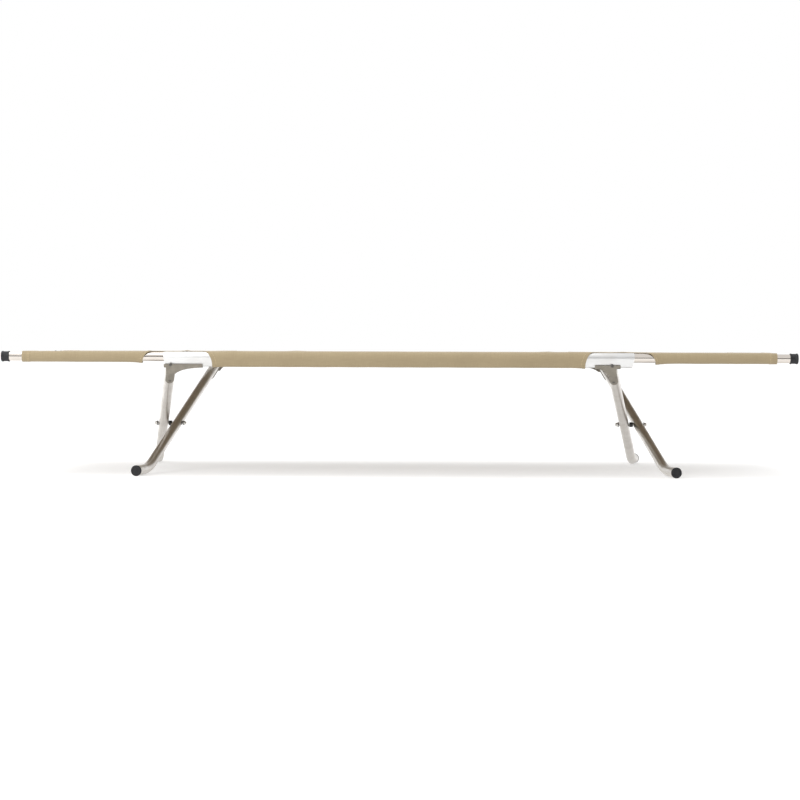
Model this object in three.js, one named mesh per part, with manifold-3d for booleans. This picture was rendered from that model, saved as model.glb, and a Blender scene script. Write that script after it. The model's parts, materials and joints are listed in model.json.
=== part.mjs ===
// Folding camp cot: two identical frame halves crossed like scissors on two pivot bolts, and a cloth bed
// sleeved over both side rails. Each half is a side rail with two legs bracketed rigidly under it.
// Millimetres, +Z up, +X along the bed, near side at -Y, origin on the floor under the middle of the bed.
import * as THREE from 'three';
import { mergeVertices } from 'three/addons/utils/BufferGeometryUtils.js';
import Module from 'manifold-3d';

// Overall layout
const railSpacing = 680; // between the axes of the two side rails
const railAxisHeight = 299.2; // rail axis above the floor
const legSetX = 549; // middle of a pair of legs, where they meet the rails, from the middle of the bed
const footBendY = 236.8; // where a leg turns level, beyond the pivot
const legSplay = THREE.MathUtils.degToRad(10.8); // each leg leans out along the bed on its way down

// Side rails
const endTubeRadius = 11.1;
const endTubeWall = 1.5;
const tubeFit = 0.3; // end tube inside the middle rail
const middleRailWall = 1.5;
const middleRailTail = 24; // lowest point of the middle rail below the tube axis
const tailRadius = 5.5;
const railOverhang = 36; // middle rail beyond the middle of the leg set
const endRailInsertion = 100; // end tube held inside the middle rail
const endRailReach = 405.5; // end of the middle rail to the outer face of the rubber cap

// Rubber caps on the rail ends
const railCapLength = 20;
const railCapWall = 1;
const railCapFlare = 0.9;
const capFloor = 4;

// Legs
const legRadius = 12.7;
const legWall = 1.6;
const legBendRadius = 160;
const footLength = 90.9; // from the bend to the outer face of the foot cap
const footPlugDepth = 18;
const footPadThickness = 5;
const footPadOverhang = 0.6;

// Pivots
const pivotGap = 12; // between the two leg tubes of a pair
const boltRadius = 3;
const boltFit = 0.1; // radial clearance of the bolt in every bore
const washerRadius = 6.5;
const washerThickness = 1.6;
const boltHeadRadius = 5.6;
const boltHeadHeight = 4;
const nutRadius = 5.6;
const nutHeight = 8;

// Leg brackets
const bracketWall = 2.6;
const cheekClearance = 0.5; // cheek off the flat of the rail's tail
const cheekRise = 6; // how far the bracket's cheek stands up the side of the rail
const gussetTipDrop = 3;
const gussetTipInset = 61; // gusset tip, from the middle of the leg set towards the middle of the bed
const cheekMarginOuterLeg = 15;
const cheekMarginInnerLeg = 21;
const strapLength = 73;
const strapWidth = 22;
const lowerRivetStation = 56; // down the strap from under the rail; the upper rivet sits close under the cheek
const rivetRadius = 2;
const rivetHeadRadius = 3.6;
const rivetHeadHeight = 1.8;
const fastenerFit = 0.25;
const screwRise = 4.5; // rail screw above the bottom of the rail

// Cloth
const clothThickness = 1.2;
const sleeveFit = 0.35; // middle sleeve round the middle rail
const endSleeveSlack = 1.4; // round the end tube, inside its sleeve
const clothHalfLength = 938;
const notchLength = 179; // bare rail at each leg set
const seamFlap = 20; // sleeve's flap towards the bed
const notchDepth = 34; // how far a notch reaches into the bed panel

const gap = 0.3; // between pieces that touch
const roundSides = 16;
const fastenerSides = 8;

// Worked out from the sizes above
const railY = railSpacing / 2;
const middleRailRadius = endTubeRadius + tubeFit + middleRailWall;
const middleRailHalf = legSetX + railOverhang;
const railBottomZ = railAxisHeight - middleRailTail;
const legOffset = legRadius + pivotGap / 2; // each leg's shift along the bed from the middle of its set
const footCapRadius = legRadius + gap + footPadOverhang;
const footAxisZ = footCapRadius;
const legHeadingRun = (railY + footBendY) / Math.cos(legSplay);
const legSlope = Math.atan2(railBottomZ - footAxisZ, legHeadingRun);
const pivotZ = railBottomZ - ((railBottomZ - footAxisZ) * railY) / (railY + footBendY);
const pivotX = legSetX + railY * Math.tan(legSplay);
const legLean = Math.asin(Math.sin(legSplay) * Math.cos(legSlope)); // out of the plane square to the bolt
const washerSeat = (legRadius + washerRadius * Math.sin(legLean)) / Math.cos(legLean) + gap;
const shankHole = rivetRadius + fastenerFit;
const strapFace = legRadius + gap + bracketWall; // outer face of the strap from the leg's axis
const cheekDrop = strapFace / Math.cos(legSlope); // how far the cheek hangs below the rail beside the strap
const cheekInnerY = -railY - tailRadius - gap - cheekClearance;
const rivetTop = strapFace + gap + rivetHeadHeight;
const upperRivetStation =
  (cheekInnerY + gap + railY + rivetTop * Math.sin(legSlope)) / Math.cos(legSlope) + rivetHeadRadius;
const rivetStations = [upperRivetStation, lowerRivetStation];
const endSleeveRadius = endTubeRadius + endSleeveSlack + clothThickness;
const flapTop = endSleeveRadius; // top of the sleeves' flaps and of the bed panel, above the rail axis

const wasm = await Module();
wasm.setup();

const Y_AXIS = new THREE.Vector3(0, 1, 0);

const finishes = {
  brightTube: { color: 0xc9c9c7, roughness: 0.22, metalness: 1 },
  extrusion: { color: 0xe4e4e2, roughness: 0.32, metalness: 0.9 },
  satinTube: { color: 0xb9b4ab, roughness: 0.42, metalness: 0.9 },
  casting: { color: 0x938a80, roughness: 0.6, metalness: 0.5 },
  rubber: { color: 0x17181a, roughness: 0.75, metalness: 0 },
  nylon: { color: 0x1d1d1f, roughness: 0.5, metalness: 0 },
  steel: { color: 0xc4c2bd, roughness: 0.3, metalness: 1 },
  canvas: { color: 0xbba983, roughness: 0.9, metalness: 0 },
};

function piece(name, geometry, finish) {
  const mesh = new THREE.Mesh(geometry, new THREE.MeshStandardMaterial(finishes[finish]));
  mesh.name = name;
  return mesh;
}

// Geometry to solid and back, for joins and cuts
function toSolid(geometry) {
  const bare = geometry.clone();
  bare.deleteAttribute('normal');
  bare.deleteAttribute('uv');
  const merged = mergeVertices(bare, 1e-4);
  return new wasm.Manifold(
    new wasm.Mesh({
      numProp: 3,
      vertProperties: new Float32Array(merged.attributes.position.array),
      triVerts: new Uint32Array(merged.index.array),
    }),
  );
}

function toGeometry(solid) {
  const mesh = solid.getMesh();
  const geometry = new THREE.BufferGeometry();
  geometry.setAttribute('position', new THREE.BufferAttribute(mesh.vertProperties, 3));
  geometry.setIndex(new THREE.BufferAttribute(mesh.triVerts, 1));
  return geometry;
}

function boxBetween(low, high) {
  const geometry = new THREE.BoxGeometry(high[0] - low[0], high[1] - low[1], high[2] - low[2]);
  return geometry.translate((low[0] + high[0]) / 2, (low[1] + high[1]) / 2, (low[2] + high[2]) / 2);
}

// A geometry made along +Y, moved so that its own origin and axis lie at `origin` along `direction`
function aim(geometry, origin, direction) {
  const turn = new THREE.Quaternion().setFromUnitVectors(Y_AXIS, direction.clone().normalize());
  return geometry.applyQuaternion(turn).translate(origin.x, origin.y, origin.z);
}

function rod(radius, start, end, sides = roundSides) {
  const axis = end.clone().sub(start);
  const geometry = new THREE.CylinderGeometry(radius, radius, axis.length(), sides);
  geometry.translate(0, axis.length() / 2, 0);
  return aim(geometry, start, axis);
}

// A turned piece from [radius, distance along the axis] pairs, beginning and ending on the axis
function turned(profile, origin, direction, sides = roundSides) {
  const points = profile.map(([radius, along]) => new THREE.Vector2(radius, along));
  return aim(new THREE.LatheGeometry(points, sides), origin, direction);
}

function ringShape(outer, inner) {
  const shape = new THREE.Shape().absarc(0, 0, outer, 0, 2 * Math.PI);
  shape.holes.push(new THREE.Path().absarc(0, 0, inner, 0, 2 * Math.PI, true));
  return shape;
}

// The middle rail's outline across the rail, grown by `offset`: a round head on the tube axis, tapering
// down to a narrow round tail. Across the rail is x and up is y, from the tube axis.
function railOutline(offset, Kind = THREE.Shape) {
  const head = middleRailRadius + offset;
  const tail = tailRadius + offset;
  const tailCentre = -(middleRailTail - tailRadius);
  const taper = Math.asin((middleRailRadius - tailRadius) / -tailCentre);
  const outline = new Kind();
  outline.absarc(0, 0, head, -taper, Math.PI + taper);
  outline.absarc(0, tailCentre, tail, Math.PI + taper, 2 * Math.PI - taper);
  outline.closePath();
  return outline;
}

// A section drawn across the rail, extruded along the bed from x0 to x1 around the near rail's tube axis
function alongRail(shape, x0, x1, curveSegments = 7) {
  const geometry = new THREE.ExtrudeGeometry(shape, { depth: x1 - x0, bevelEnabled: false, curveSegments });
  geometry.rotateX(Math.PI / 2).rotateZ(Math.PI / 2);
  return geometry.translate(x0, -railY, railAxisHeight);
}

// One of the two legs of a half. `side` is -1 at the left end of the bed and +1 at the right.
function legFrame(side, legX) {
  const heading = new THREE.Vector3(side * Math.sin(legSplay), Math.cos(legSplay), 0);
  const down = heading.clone().multiplyScalar(Math.cos(legSlope));
  down.z = -Math.sin(legSlope);
  const under = heading.clone().multiplyScalar(-Math.sin(legSlope));
  under.z = -Math.cos(legSlope);
  const top = new THREE.Vector3(legX, -railY, railBottomZ);
  const straight = legHeadingRun / Math.cos(legSlope);
  const corner = top.clone().addScaledVector(down, straight);
  const at = (distance, depth = 0) => top.clone().addScaledVector(down, distance).addScaledVector(under, depth);
  return { heading, down, under, top, corner, straight, at };
}

// The centre line of a leg: straight down to the bend, a circular bend, then level along the floor
class LegLine extends THREE.Curve {
  constructor(leg, bendSteps, levelLength) {
    super();
    const setback = legBendRadius * Math.tan(legSlope / 2);
    const centre = leg.at(leg.straight - setback, -legBendRadius);
    this.stations = [leg.at(-legRadius * 4)];
    for (let i = 0; i <= bendSteps; i += 1) {
      const turn = legSlope * (1 - i / bendSteps);
      const spoke = leg.heading.clone().multiplyScalar(-Math.sin(turn));
      spoke.z = -Math.cos(turn);
      this.stations.push(centre.clone().addScaledVector(spoke, legBendRadius));
    }
    this.stations.push(leg.corner.clone().addScaledVector(leg.heading, levelLength));
  }

  getPoint(t, target = new THREE.Vector3()) {
    const spans = this.stations.length - 1;
    const span = Math.min(Math.floor(t * spans + 1e-9), spans - 1);
    return target.lerpVectors(this.stations[span], this.stations[span + 1], t * spans - span);
  }

  getPointAt(u, target) {
    return this.getPoint(u, target);
  }

  getUtoTmapping(u) {
    return u;
  }
}

function legGeometry(leg) {
  const line = new LegLine(leg, 5, footLength - footPadThickness - gap);
  const tube = new THREE.ExtrudeGeometry(ringShape(legRadius, legRadius - legWall), {
    steps: line.stations.length - 1,
    extrudePath: line,
    curveSegments: roundSides / 2,
  });
  let solid = trimUnderRail(toSolid(tube), leg, gap);
  for (const station of rivetStations) {
    solid = solid.subtract(toSolid(rod(shankHole, leg.at(station), leg.at(station, 2 * legRadius), fastenerSides)));
  }
  const bore = new THREE.Vector3(leg.top.x + Math.sign(leg.heading.x) * railY * Math.tan(legSplay), 0, pivotZ);
  const across = new THREE.Vector3(2 * legRadius, 0, 0);
  const hole = rod(boltRadius + boltFit, bore.clone().sub(across), bore.clone().add(across), roundSides);
  return toGeometry(solid.subtract(toSolid(hole)));
}

// A leg stops short of the bracket's cheek in front of it and of the trough over it
function trimUnderRail(solid, leg, clearance) {
  const front = cheekInnerY + clearance;
  const ceiling = railBottomZ - gap - bracketWall - clearance;
  const reach = 8 * legRadius;
  const low = [leg.top.x - reach, -railY - reach];
  const high = [leg.top.x + reach, 0];
  const ahead = boxBetween([low[0], low[1], 0], [high[0], front, railAxisHeight + reach]);
  const above = boxBetween([low[0], low[1], ceiling], [high[0], high[1], railAxisHeight + reach]);
  return solid.subtract(toSolid(ahead)).subtract(toSolid(above));
}

// Bracket: a trough under the rail, a cheek that tapers to a rounded tip, and a strap down the leg
function bracketGeometry(leg, tipX, endX) {
  const low = Math.min(tipX, endX);
  const high = Math.max(tipX, endX);
  const outer = cheekInnerY - bracketWall;
  const cheekTop = railBottomZ + cheekRise;
  const toTip = Math.sign(tipX - endX);

  let trough = toSolid(alongRail(railOutline(gap + bracketWall), low, high));
  trough = trough.intersect(toSolid(boxBetween([low, outer, 0], [high, -2 * railY - outer, cheekTop])));

  const half = strapWidth / 2;
  const cheek = new THREE.Shape();
  const tipRadius = (cheekRise + gussetTipDrop) / 2;
  const strapInnerX = leg.top.x + toTip * half;
  cheek.moveTo(endX, cheekTop);
  cheek.lineTo(tipX - toTip * tipRadius, cheekTop);
  cheek.quadraticCurveTo(tipX, cheekTop, tipX, cheekTop - tipRadius);
  cheek.quadraticCurveTo(tipX, railBottomZ - gussetTipDrop, tipX - toTip * tipRadius, railBottomZ - gussetTipDrop);
  cheek.quadraticCurveTo(
    strapInnerX + toTip * 0.25 * Math.abs(tipX - strapInnerX),
    railBottomZ - gussetTipDrop - 1,
    strapInnerX,
    railBottomZ - cheekDrop,
  );
  cheek.lineTo(leg.top.x - toTip * half, railBottomZ - cheekDrop);
  cheek.lineTo(leg.top.x - toTip * half, railBottomZ - gussetTipDrop);
  cheek.lineTo(endX, railBottomZ);
  cheek.closePath();
  const plate = new THREE.ExtrudeGeometry(cheek, { depth: bracketWall, bevelEnabled: false, curveSegments: 4 });
  plate.rotateX(Math.PI / 2).translate(0, cheekInnerY, 0);

  // The strap is the lower part of a shell round the leg, with a rounded end
  const start = leg.at(-legRadius * 2);
  const across = new THREE.Vector3().crossVectors(leg.down, leg.under);
  const outline = new THREE.Shape();
  outline.moveTo(-half, -legRadius * 2);
  outline.lineTo(half, -legRadius * 2);
  outline.lineTo(half, strapLength - half);
  outline.absarc(0, strapLength - half, half, 0, Math.PI);
  outline.closePath();
  const prism = new THREE.ExtrudeGeometry(outline, { depth: 2 * strapFace, bevelEnabled: false, curveSegments: 4 });
  const basis = new THREE.Matrix4().makeBasis(across, leg.down, leg.under.clone().negate());
  const shift = leg.at(0, 2 * strapFace + legRadius / 2);
  prism.applyMatrix4(basis.setPosition(shift));
  let strap = toSolid(rod(strapFace, start, leg.at(strapLength + 1))).intersect(orient(prism));
  strap = strap.subtract(toSolid(boxBetween([low - 99, -railY - 99, 0], [high + 99, outer, 999])));
  const ceiling = railBottomZ - gap;
  strap = strap.subtract(toSolid(boxBetween([low - 99, -railY - 99, ceiling], [high + 99, 0, 999])));

  let solid = trough.add(orient(plate)).add(strap);
  solid = solid.subtract(toSolid(alongRail(railOutline(gap), low - 9, high + 9)));
  const legRoom = toSolid(rod(legRadius + gap, start, leg.at(strapLength + legRadius)));
  solid = solid.subtract(trimUnderRail(legRoom, leg, 0));
  for (const station of rivetStations) {
    solid = solid.subtract(toSolid(rod(shankHole, leg.at(station), leg.at(station, 2 * legRadius), fastenerSides)));
  }
  return toGeometry(solid.subtract(toSolid(screwHole(leg.top.x))));
}

// A solid from a geometry that a mirrored placing may have turned inside out
function orient(geometry) {
  const solid = toSolid(geometry);
  if (solid.volume() > 0) return solid;
  const flipped = geometry.index ? geometry.toNonIndexed() : geometry.clone();
  const position = flipped.attributes.position;
  for (let i = 0; i < position.count; i += 3) {
    const a = new THREE.Vector3().fromBufferAttribute(position, i);
    const b = new THREE.Vector3().fromBufferAttribute(position, i + 1);
    position.setXYZ(i, b.x, b.y, b.z);
    position.setXYZ(i + 1, a.x, a.y, a.z);
  }
  return toSolid(flipped);
}

function screwHole(x) {
  const z = railBottomZ + screwRise;
  return rod(shankHole, new THREE.Vector3(x, -railY - 20, z), new THREE.Vector3(x, -railY, z), fastenerSides);
}

// A round-headed fastener whose shank runs from under the head along `direction`
function fastener(head, direction, shankLength) {
  const r = rivetHeadRadius;
  const h = rivetHeadHeight;
  const profile = [
    [0, -h],
    [r * 0.7, -h * 0.75],
    [r, 0],
    [rivetRadius, 0],
    [rivetRadius, shankLength],
    [0, shankLength],
  ];
  return turned(profile, head, direction, fastenerSides);
}

function middleRailGeometry(legXs) {
  const shape = railOutline(0);
  shape.holes.push(railOutline(-middleRailWall, THREE.Path));
  let solid = toSolid(alongRail(shape, -middleRailHalf, middleRailHalf));
  for (const x of legXs) solid = solid.subtract(toSolid(screwHole(x)));
  return toGeometry(solid);
}

// End tube, from inside the middle rail out to the floor of its rubber cap
function endRailGeometry(side) {
  const inside = middleRailHalf - endRailInsertion;
  const outside = middleRailHalf + endRailReach - capFloor - gap;
  const tube = ringShape(endTubeRadius, endTubeRadius - endTubeWall);
  const ends = side < 0 ? [-outside, -inside] : [inside, outside];
  return alongRail(tube, ends[0], ends[1], roundSides / 2);
}

// Spool-shaped rubber cup pressed over the end tube, waisted between two rims
function railCapGeometry(side) {
  const mouth = new THREE.Vector3(side * (middleRailHalf + endRailReach - railCapLength), -railY, railAxisHeight);
  const bore = endTubeRadius + gap;
  const waist = bore + railCapWall;
  const rim = waist + railCapFlare;
  const profile = [
    [0, railCapLength - capFloor],
    [bore, railCapLength - capFloor],
    [bore, 0],
    [rim, 0],
    [rim, 2.5],
    [waist, 5],
    [waist, railCapLength - 7],
    [rim, railCapLength - 4],
    [rim, railCapLength - 1.5],
    [rim - 1.5, railCapLength],
    [0, railCapLength],
  ];
  return turned(profile, mouth, new THREE.Vector3(side, 0, 0));
}

// Rubber foot: a plug pushed into the end of the leg behind a round pad that stands on the floor
function footCapGeometry(leg) {
  const length = footPlugDepth + footPadThickness;
  const inner = leg.corner.clone().addScaledVector(leg.heading, footLength - length);
  const plug = legRadius - legWall - gap;
  const profile = [
    [0, 0],
    [plug, 0],
    [plug, footPlugDepth],
    [footCapRadius, footPlugDepth],
    [footCapRadius, length - 1.5],
    [footCapRadius - 1.5, length],
    [0, length],
  ];
  return turned(profile, inner, leg.heading);
}

// Middle sleeve follows the middle rail; end sleeves are round. Both carry a flap towards the bed.
function sleeveGeometry(x0, x1, round) {
  let shape;
  if (round) {
    shape = ringShape(endSleeveRadius, endSleeveRadius - clothThickness);
  } else {
    shape = railOutline(sleeveFit + clothThickness);
    shape.holes.push(railOutline(sleeveFit, THREE.Path));
  }
  const bore = round ? endSleeveRadius - clothThickness : middleRailRadius + sleeveFit;
  const flapZ = railAxisHeight + flapTop - clothThickness;
  const root = -railY + Math.sqrt(Math.max(bore ** 2 - (flapTop - clothThickness) ** 2, 0)) + clothThickness / 2;
  const flap = boxBetween([x0, root, flapZ], [x1, -railY + seamFlap, flapZ + clothThickness]);
  return toGeometry(toSolid(alongRail(shape, x0, x1)).add(toSolid(flap)));
}

// Bed panel: one flat cloth between the two rows of flaps, notched at each leg set
function panelGeometry() {
  const edge = railY - seamFlap - gap;
  const round = notchDepth / 2;
  const shape = new THREE.Shape();
  const corners = [
    [1, -1],
    [1, 1],
    [-1, 1],
    [-1, -1],
  ];
  const notch = (sideY, from, to) => {
    const way = Math.sign(to - from);
    const deep = sideY * (edge - notchDepth);
    shape.lineTo(from, sideY * edge);
    shape.lineTo(from, sideY * (edge - round));
    shape.quadraticCurveTo(from, deep, from + way * round, deep);
    shape.lineTo(to - way * round, deep);
    shape.quadraticCurveTo(to, deep, to, sideY * (edge - round));
    shape.lineTo(to, sideY * edge);
  };
  const inner = legSetX - notchLength / 2;
  const outer = legSetX + notchLength / 2;
  shape.moveTo(-clothHalfLength, -edge);
  notch(-1, -outer, -inner);
  notch(-1, inner, outer);
  shape.lineTo(corners[0][0] * clothHalfLength, corners[0][1] * edge);
  shape.lineTo(corners[1][0] * clothHalfLength, corners[1][1] * edge);
  notch(1, outer, inner);
  notch(1, -inner, -outer);
  shape.lineTo(corners[2][0] * clothHalfLength, corners[2][1] * edge);
  shape.closePath();
  const options = { depth: clothThickness, bevelEnabled: false, curveSegments: 4 };
  return new THREE.ExtrudeGeometry(shape, options).translate(0, 0, railAxisHeight + flapTop - clothThickness);
}

// Half of the frame as it stands on the near side. The far half is the same parts turned half round.
function frameHalf(half) {
  const group = new THREE.Group();
  const turnedRound = half === 'far';
  const sideName = (side) => (side < 0 === turnedRound ? 'right' : 'left');
  const legs = [
    { side: -1, x: -(legSetX + legOffset), margin: cheekMarginOuterLeg },
    { side: 1, x: legSetX - legOffset, margin: cheekMarginInnerLeg },
  ];
  group.add(piece(`${half}_middle_rail`, middleRailGeometry(legs.map((leg) => leg.x)), 'extrusion'));
  group.add(piece(`${half}_middle_sleeve`, sleeveGeometry(-notchEdge(-1), notchEdge(-1), false), 'canvas'));
  for (const { side, x, margin } of legs) {
    const name = `${half}_${sideName(side)}`;
    const leg = legFrame(side, x);
    group.add(piece(`${name}_end_rail`, endRailGeometry(side), 'brightTube'));
    group.add(piece(`${name}_rail_cap`, railCapGeometry(side), 'rubber'));
    const ends = side < 0 ? [-clothHalfLength, -notchEdge(1)] : [notchEdge(1), clothHalfLength];
    group.add(piece(`${name}_end_sleeve`, sleeveGeometry(ends[0], ends[1], true), 'canvas'));
    group.add(piece(`${name}_leg`, legGeometry(leg), 'satinTube'));
    group.add(piece(`${name}_foot_cap`, footCapGeometry(leg), 'rubber'));
    const tipX = side * (legSetX - gussetTipInset);
    group.add(piece(`${name}_leg_bracket`, bracketGeometry(leg, tipX, x + side * margin), 'casting'));
    rivetStations.forEach((station, i) => {
      const head = leg.at(station, strapFace + gap);
      const shank = strapFace + gap - (legRadius - legWall) + 1;
      const rivet = fastener(head, leg.under.clone().negate(), shank);
      group.add(piece(`${name}_leg_rivet_${i + 1}`, rivet, 'steel'));
    });
    const screwHead = new THREE.Vector3(x, cheekInnerY - bracketWall - gap, railBottomZ + screwRise);
    const screw = fastener(screwHead, new THREE.Vector3(0, 1, 0), bracketWall + tailRadius);
    group.add(piece(`${name}_rail_screw`, screw, 'steel'));
  }
  if (turnedRound) group.rotation.z = Math.PI;
  return group;
}

// Distance from the middle of the bed to the inner (-1) or outer (+1) edge of a notch
function notchEdge(way) {
  return legSetX + (way * notchLength) / 2;
}

// Pivot of one leg pair: a bolt along the bed with its head outermost, two washers, a spacer and a nut
function pivot(side) {
  const group = new THREE.Group();
  const name = side < 0 ? 'left' : 'right';
  const outward = new THREE.Vector3(side, 0, 0);
  const inward = outward.clone().negate();
  const at = (distance) => new THREE.Vector3(side * (pivotX + distance), 0, pivotZ);
  const faces = legOffset + washerSeat;
  const disc = (from, to) => {
    const bore = boltRadius + boltFit;
    const profile = [
      [bore, 0],
      [washerRadius, 0],
      [washerRadius, to - from],
      [bore, to - from],
      [bore, 0],
    ];
    return turned(profile, at(from), outward);
  };
  group.add(piece(`${name}_pivot_outer_washer`, disc(faces, faces + washerThickness), 'nylon'));
  group.add(piece(`${name}_pivot_inner_washer`, disc(-faces - washerThickness, -faces), 'nylon'));
  group.add(piece(`${name}_pivot_spacer`, disc(washerSeat - legOffset, legOffset - washerSeat), 'nylon'));

  const headSeat = faces + washerThickness + gap;
  const shank = 2 * headSeat + nutHeight / 2;
  const bolt = [
    [0, -boltHeadHeight],
    [boltHeadRadius * 0.7, -boltHeadHeight * 0.75],
    [boltHeadRadius, 0],
    [boltRadius, 0],
    [boltRadius, shank],
    [0, shank],
  ];
  group.add(piece(`${name}_pivot_bolt`, turned(bolt, at(headSeat), inward), 'steel'));
  const bore = boltRadius + boltFit;
  const nut = [
    [0, nutHeight * 0.7],
    [bore, nutHeight * 0.7],
    [bore, 0],
    [nutRadius, 0],
    [nutRadius, nutHeight * 0.5],
    [nutRadius * 0.7, nutHeight * 0.85],
    [0, nutHeight],
  ];
  group.add(piece(`${name}_pivot_nut`, turned(nut, at(-headSeat), inward), 'steel'));
  return group;
}

const cot = new THREE.Group();
cot.add(frameHalf('near'), frameHalf('far'), pivot(-1), pivot(1));
cot.add(piece('bed_panel', panelGeometry(), 'canvas'));

export default cot;
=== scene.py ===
"""Folding camp cot: tan canvas bed on aluminium rails, carried by two pairs of crossed bent-tube legs.

Metres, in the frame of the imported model: +X along the bed, +Y from the near rail to the far rail, +Z up.
The far half of the frame is the near half turned half round, so each metal piece is modelled once for the
near half and copied.
"""
import json
import math

import bpy
import numpy as np
from mathutils import Matrix, Vector


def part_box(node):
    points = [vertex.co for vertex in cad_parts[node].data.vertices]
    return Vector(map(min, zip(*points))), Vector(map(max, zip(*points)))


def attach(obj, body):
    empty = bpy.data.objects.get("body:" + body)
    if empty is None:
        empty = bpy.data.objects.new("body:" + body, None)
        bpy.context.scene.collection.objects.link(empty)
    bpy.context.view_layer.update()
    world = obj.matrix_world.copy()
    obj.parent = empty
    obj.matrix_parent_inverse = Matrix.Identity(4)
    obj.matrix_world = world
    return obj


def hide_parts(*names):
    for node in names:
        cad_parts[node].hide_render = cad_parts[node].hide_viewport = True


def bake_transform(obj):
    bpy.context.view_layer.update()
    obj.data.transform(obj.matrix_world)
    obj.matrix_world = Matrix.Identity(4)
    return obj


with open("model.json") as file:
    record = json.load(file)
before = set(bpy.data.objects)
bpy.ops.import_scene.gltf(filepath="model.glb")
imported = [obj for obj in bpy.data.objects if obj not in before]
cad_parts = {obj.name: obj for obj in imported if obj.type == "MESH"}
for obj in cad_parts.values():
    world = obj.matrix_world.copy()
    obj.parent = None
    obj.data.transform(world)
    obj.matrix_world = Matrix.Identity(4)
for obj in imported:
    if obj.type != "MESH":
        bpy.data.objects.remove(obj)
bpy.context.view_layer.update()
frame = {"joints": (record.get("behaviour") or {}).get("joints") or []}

MM = 0.001
SIDES = {"left": -1, "right": 1}
HALVES = {"near": Matrix.Identity(4), "far": Matrix.Rotation(math.pi, 4, "Z")}  # turned from the near half


# ---- Sizes read from the frame ----
def centre(node):
    low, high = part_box(node)
    return (low + high) / 2


def size(node):
    low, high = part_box(node)
    return high - low


RAIL = centre("near_left_end_rail")  # the end tube's axis is the rail's axis
RAIL_Y, RAIL_Z = RAIL.y, RAIL.z
END_TUBE_RADIUS = size("near_left_end_rail").z / 2
END_TUBE_WALL = 1.5 * MM
RAIL_LOW, RAIL_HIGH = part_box("near_middle_rail")
RAIL_HEAD_RADIUS = RAIL_HIGH.z - RAIL_Z
RAIL_TAIL_RADIUS = 5.5 * MM
RAIL_WALL = 1.5 * MM
PIVOT_Z = frame["joints"][0]["pos_m"][2]  # the first joint is the fold, on the pivot bolts
LEG_RADIUS = 12.7 * MM
LEG_WALL = 1.6 * MM
LEG_BEND_RADIUS = 160 * MM
FOOT_PAD = 5 * MM
FOOT_PLUG = 18 * MM
GAP = 0.3 * MM  # clearance between fitted pieces
BRACKET_WALL = 2.6 * MM
TROUGH_DEPTH = BRACKET_WALL + GAP
CHEEK_INNER_Y = RAIL_Y - 6.3 * MM
CHEEK_OUTER_Y = CHEEK_INNER_Y - BRACKET_WALL
CHEEK_TOP = RAIL_LOW.z + 6 * MM
STRAP_FACE = LEG_RADIUS + GAP + BRACKET_WALL
STRAP_WIDTH = 22 * MM
STRAP_LENGTH = 73 * MM
BOLT_RADIUS = 3 * MM
BOLT_BORE = BOLT_RADIUS + 0.05 * MM
NOTCH_X = (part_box("near_middle_sleeve")[1].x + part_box("near_right_end_sleeve")[0].x) / 2
ROUND = 56  # sides of a round tube


# ---- Shader maths ----
def maths(operation, swapped=False):
    """A method of Wire that adds a Math node, with the wire itself last when swapped."""
    def method(self, *others):
        operands = (*others, self) if swapped else (self, *others)
        return self.finish.node("ShaderNodeMath", {"operation": operation}, dict(enumerate(operands)))
    return method


class Wire:
    """A socket in a finish's node tree. Arithmetic on it adds Math nodes."""

    def __init__(self, finish, socket):
        self.finish = finish
        self.socket = socket

    __add__, __radd__ = maths("ADD"), maths("ADD", swapped=True)
    __sub__, __rsub__ = maths("SUBTRACT"), maths("SUBTRACT", swapped=True)
    __mul__, __rmul__ = maths("MULTIPLY"), maths("MULTIPLY", swapped=True)
    sine, abs, floor = maths("SINE"), maths("ABSOLUTE"), maths("FLOOR")
    fraction, over = maths("FRACT"), maths("GREATER_THAN")


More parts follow.
